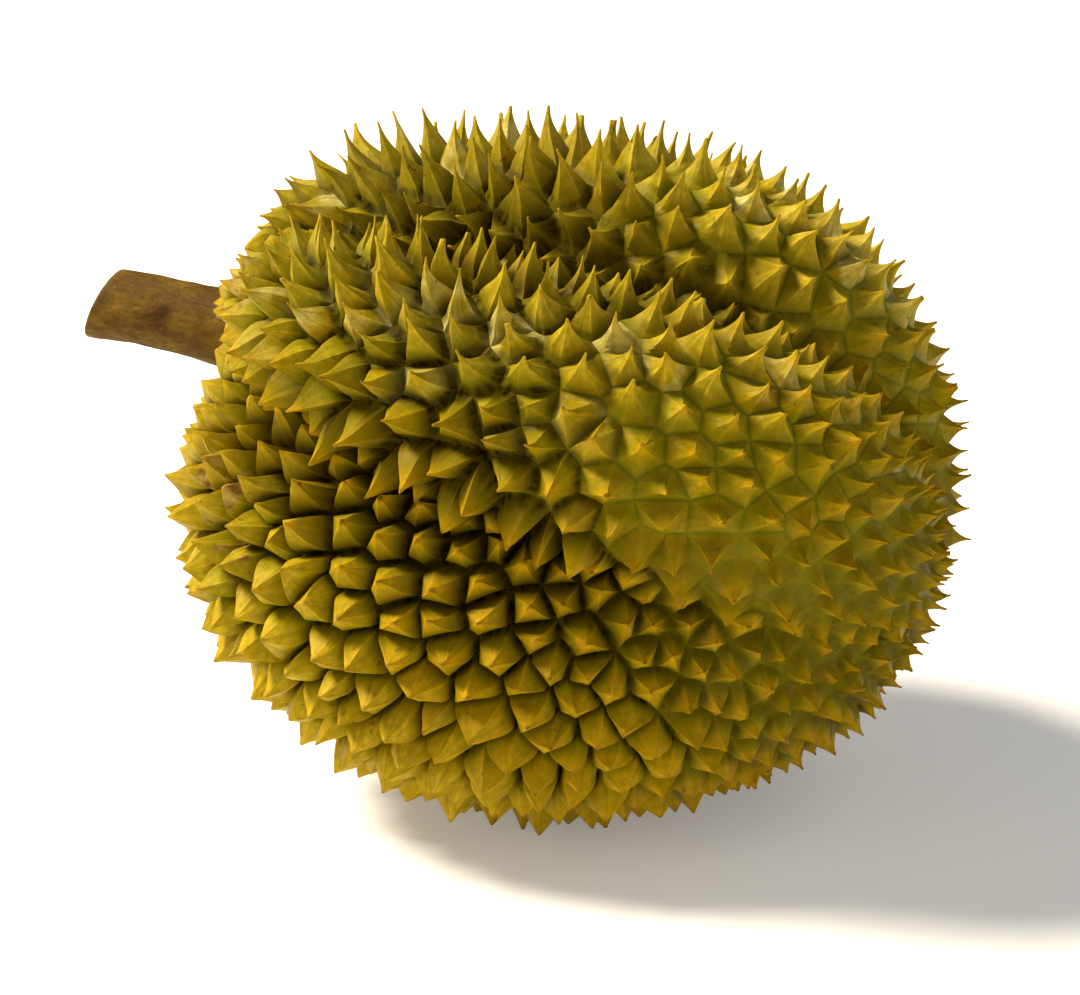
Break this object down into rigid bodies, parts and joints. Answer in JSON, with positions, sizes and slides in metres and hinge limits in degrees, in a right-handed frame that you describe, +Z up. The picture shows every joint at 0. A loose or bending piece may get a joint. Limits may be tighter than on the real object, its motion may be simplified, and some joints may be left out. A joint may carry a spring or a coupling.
{
  "type": "durian",
  "caption": "Whole durian lying on its side: a lobed oval husk covered in pointed thorns, with the cut woody stalk it hung from. Rests on the worn tips underneath.",
  "frame": {"origin": "on the surface the fruit rests on, under the middle of the whole fruit with its stalk", "axes": "+Z up, +X along the fruit's long axis from the stalk end to the blossom end, so the stalk points along -X"},
  "size_m": [0.2764, 0.2106, 0.2079],
  "materials": {
    "husk": "satin",
    "stalk": "matte"
  },
  "bodies": {
    "root": {"husk": "husk", "stalk": "stalk"}
  },
  "joints": []
}
